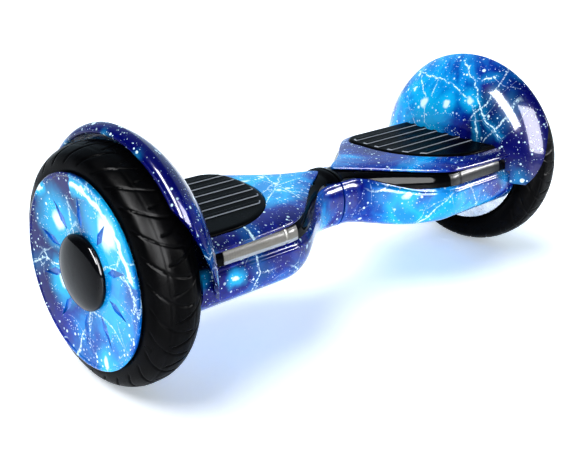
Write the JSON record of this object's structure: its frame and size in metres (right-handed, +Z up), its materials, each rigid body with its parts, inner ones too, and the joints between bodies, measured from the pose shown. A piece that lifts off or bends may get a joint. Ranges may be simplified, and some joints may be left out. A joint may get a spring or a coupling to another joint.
{
  "type": "self balancing board",
  "caption": "Two-wheeled self balancing board with hub motor wheels, arched fenders, ribbed foot pads and halves that twist about a waist pivot.",
  "frame": {"origin": "on the floor, midway between the wheels and midway between front and rear", "axes": "+X along the axle line to the right wheel, +Y to the rear with the charge port and power button, -Y to the front with the lights, +Z up"},
  "size_m": [0.6968, 0.2666, 0.2698],
  "materials": {
    "printed_shell": "gloss",
    "black_trim": "gloss",
    "motor_case": "satin",
    "lens": "gloss",
    "circuit_board": "satin",
    "pad_rubber": "matte",
    "cast_aluminium": "satin",
    "bright_rim": "satin",
    "steel": "satin",
    "brass_parts": "satin",
    "windings": "satin",
    "tyre": "matte",
    "battery_wrap": "satin",
    "socket_shell": "satin"
  },
  "bodies": {
    "left_half": {"upper_shell_left": "printed_shell", "lower_shell_left": "printed_shell", "side_trim_left": "black_trim", "light_lens_left": "lens", "led_board_left": "circuit_board", "frame_left": "cast_aluminium", "axle_clamp_left": "cast_aluminium", "clamp_bolt_left_front": "steel", "clamp_bolt_left_rear": "steel", "gyro_board_left": "circuit_board", "axle_left": "steel", "motor_stator_left": "windings", "battery_pack": "battery_wrap", "charge_socket": "socket_shell", "pivot_shaft": "steel", "pivot_circlip": "steel", "waist_gasket": "pad_rubber", "wire_harness": "pad_rubber"},
    "right_half": {"upper_shell_right": "printed_shell", "lower_shell_right": "printed_shell", "side_trim_right": "black_trim", "light_lens_right": "lens", "led_board_right": "circuit_board", "frame_right": "cast_aluminium", "axle_clamp_right": "cast_aluminium", "clamp_bolt_right_front": "steel", "clamp_bolt_right_rear": "steel", "gyro_board_right": "circuit_board", "axle_right": "steel", "motor_stator_right": "windings", "control_board": "circuit_board", "heat_sink": "cast_aluminium", "pivot_bush_inner": "brass_parts", "pivot_bush_outer": "brass_parts"},
    "left_wheel": {"tyre_left": "tyre", "motor_rim_left": "bright_rim", "motor_cover_left": "motor_case", "wheel_cover_left": "printed_shell", "hub_cap_left": "black_trim", "tyre_valve_left": "brass_parts", "inner_bearing_left": "steel", "outer_bearing_left": "steel"},
    "right_wheel": {"tyre_right": "tyre", "motor_rim_right": "bright_rim", "motor_cover_right": "motor_case", "wheel_cover_right": "printed_shell", "hub_cap_right": "black_trim", "tyre_valve_right": "brass_parts", "inner_bearing_right": "steel", "outer_bearing_right": "steel"},
    "left_foot_pad": {"foot_pad_left": "pad_rubber", "pad_plunger_left_front": "pad_rubber", "pad_plunger_left_rear": "pad_rubber"},
    "right_foot_pad": {"foot_pad_right": "pad_rubber", "pad_plunger_right_front": "pad_rubber", "pad_plunger_right_rear": "pad_rubber"},
    "button": {"power_button": "black_trim"},
    "charge_flap": {"charge_port_flap": "pad_rubber"}
  },
  "joints": [
    {"name": "waist_pivot", "type": "hinge", "parent": "left_half", "child": "right_half", "pos_m": [0, 0, 0.127], "axis": [1, 0, 0], "range_deg": [-12, 12]},
    {"name": "left_wheel_spin", "type": "hinge", "parent": "left_half", "child": "left_wheel", "pos_m": [-0.306, 0, 0.127], "axis": [1, 0, 0], "continuous": true},
    {"name": "right_wheel_spin", "type": "hinge", "parent": "right_half", "child": "right_wheel", "pos_m": [0.306, 0, 0.127], "axis": [1, 0, 0], "continuous": true},
    {"name": "left_pad_press", "type": "slide", "parent": "left_half", "child": "left_foot_pad", "axis": [0, 0, -1], "range_m": [0, 0.0015], "stiffness_N_per_m": 3000, "springref_m": -0.0008},
    {"name": "right_pad_press", "type": "slide", "parent": "right_half", "child": "right_foot_pad", "axis": [0, 0, -1], "range_m": [0, 0.0015], "stiffness_N_per_m": 3000, "springref_m": -0.0008},
    {"name": "power_button_press", "type": "slide", "parent": "right_half", "child": "button", "axis": [0, -1, 0], "range_m": [0, 0.002], "stiffness_N_per_m": 600, "springref_m": -0.0005},
    {"name": "charge_flap_open", "type": "hinge", "parent": "left_half", "child": "charge_flap", "pos_m": [-0.205, 0.0964, 0.1362], "axis": [-1, 0, 0], "range_deg": [0, 95]}
  ]
}
